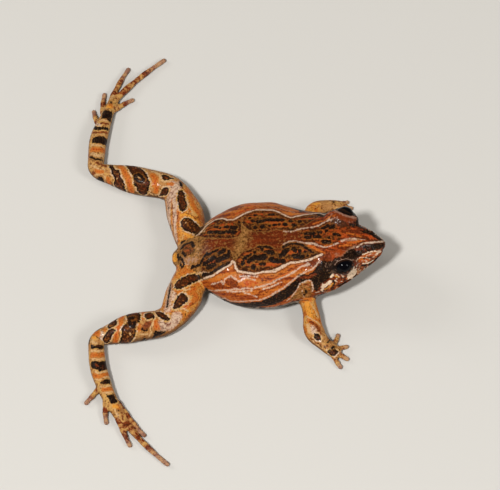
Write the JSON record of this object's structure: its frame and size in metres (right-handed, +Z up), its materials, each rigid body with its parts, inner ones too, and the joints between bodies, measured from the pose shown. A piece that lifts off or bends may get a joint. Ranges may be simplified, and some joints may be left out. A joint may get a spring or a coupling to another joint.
{
  "type": "common eastern froglet model",
  "caption": "Still life-size model of a small ground frog lying on its belly with its hind legs spread sideways.",
  "frame": {"origin": "middle of the outline, on the floor that the belly lies on", "axes": "+X forward from the vent to the snout, +Y to the animal's left, +Z up"},
  "size_m": [0.0363, 0.058, 0.0083],
  "materials": {
    "skin": "moist frog skin in orange, brown, cream and black",
    "eye": "dark polished eye"
  },
  "bodies": {
    "root": {"head": "skin", "torso": "skin", "eye_left": "eye", "eye_right": "eye", "upper_arm_left": "skin", "upper_arm_right": "skin", "forearm_left": "skin", "forearm_right": "skin", "hand_left": "skin", "hand_right": "skin", "thigh_left": "skin", "thigh_right": "skin", "shank_left": "skin", "shank_right": "skin", "tarsus_left": "skin", "tarsus_right": "skin", "foot_left": "skin", "foot_right": "skin"}
  },
  "joints": []
}
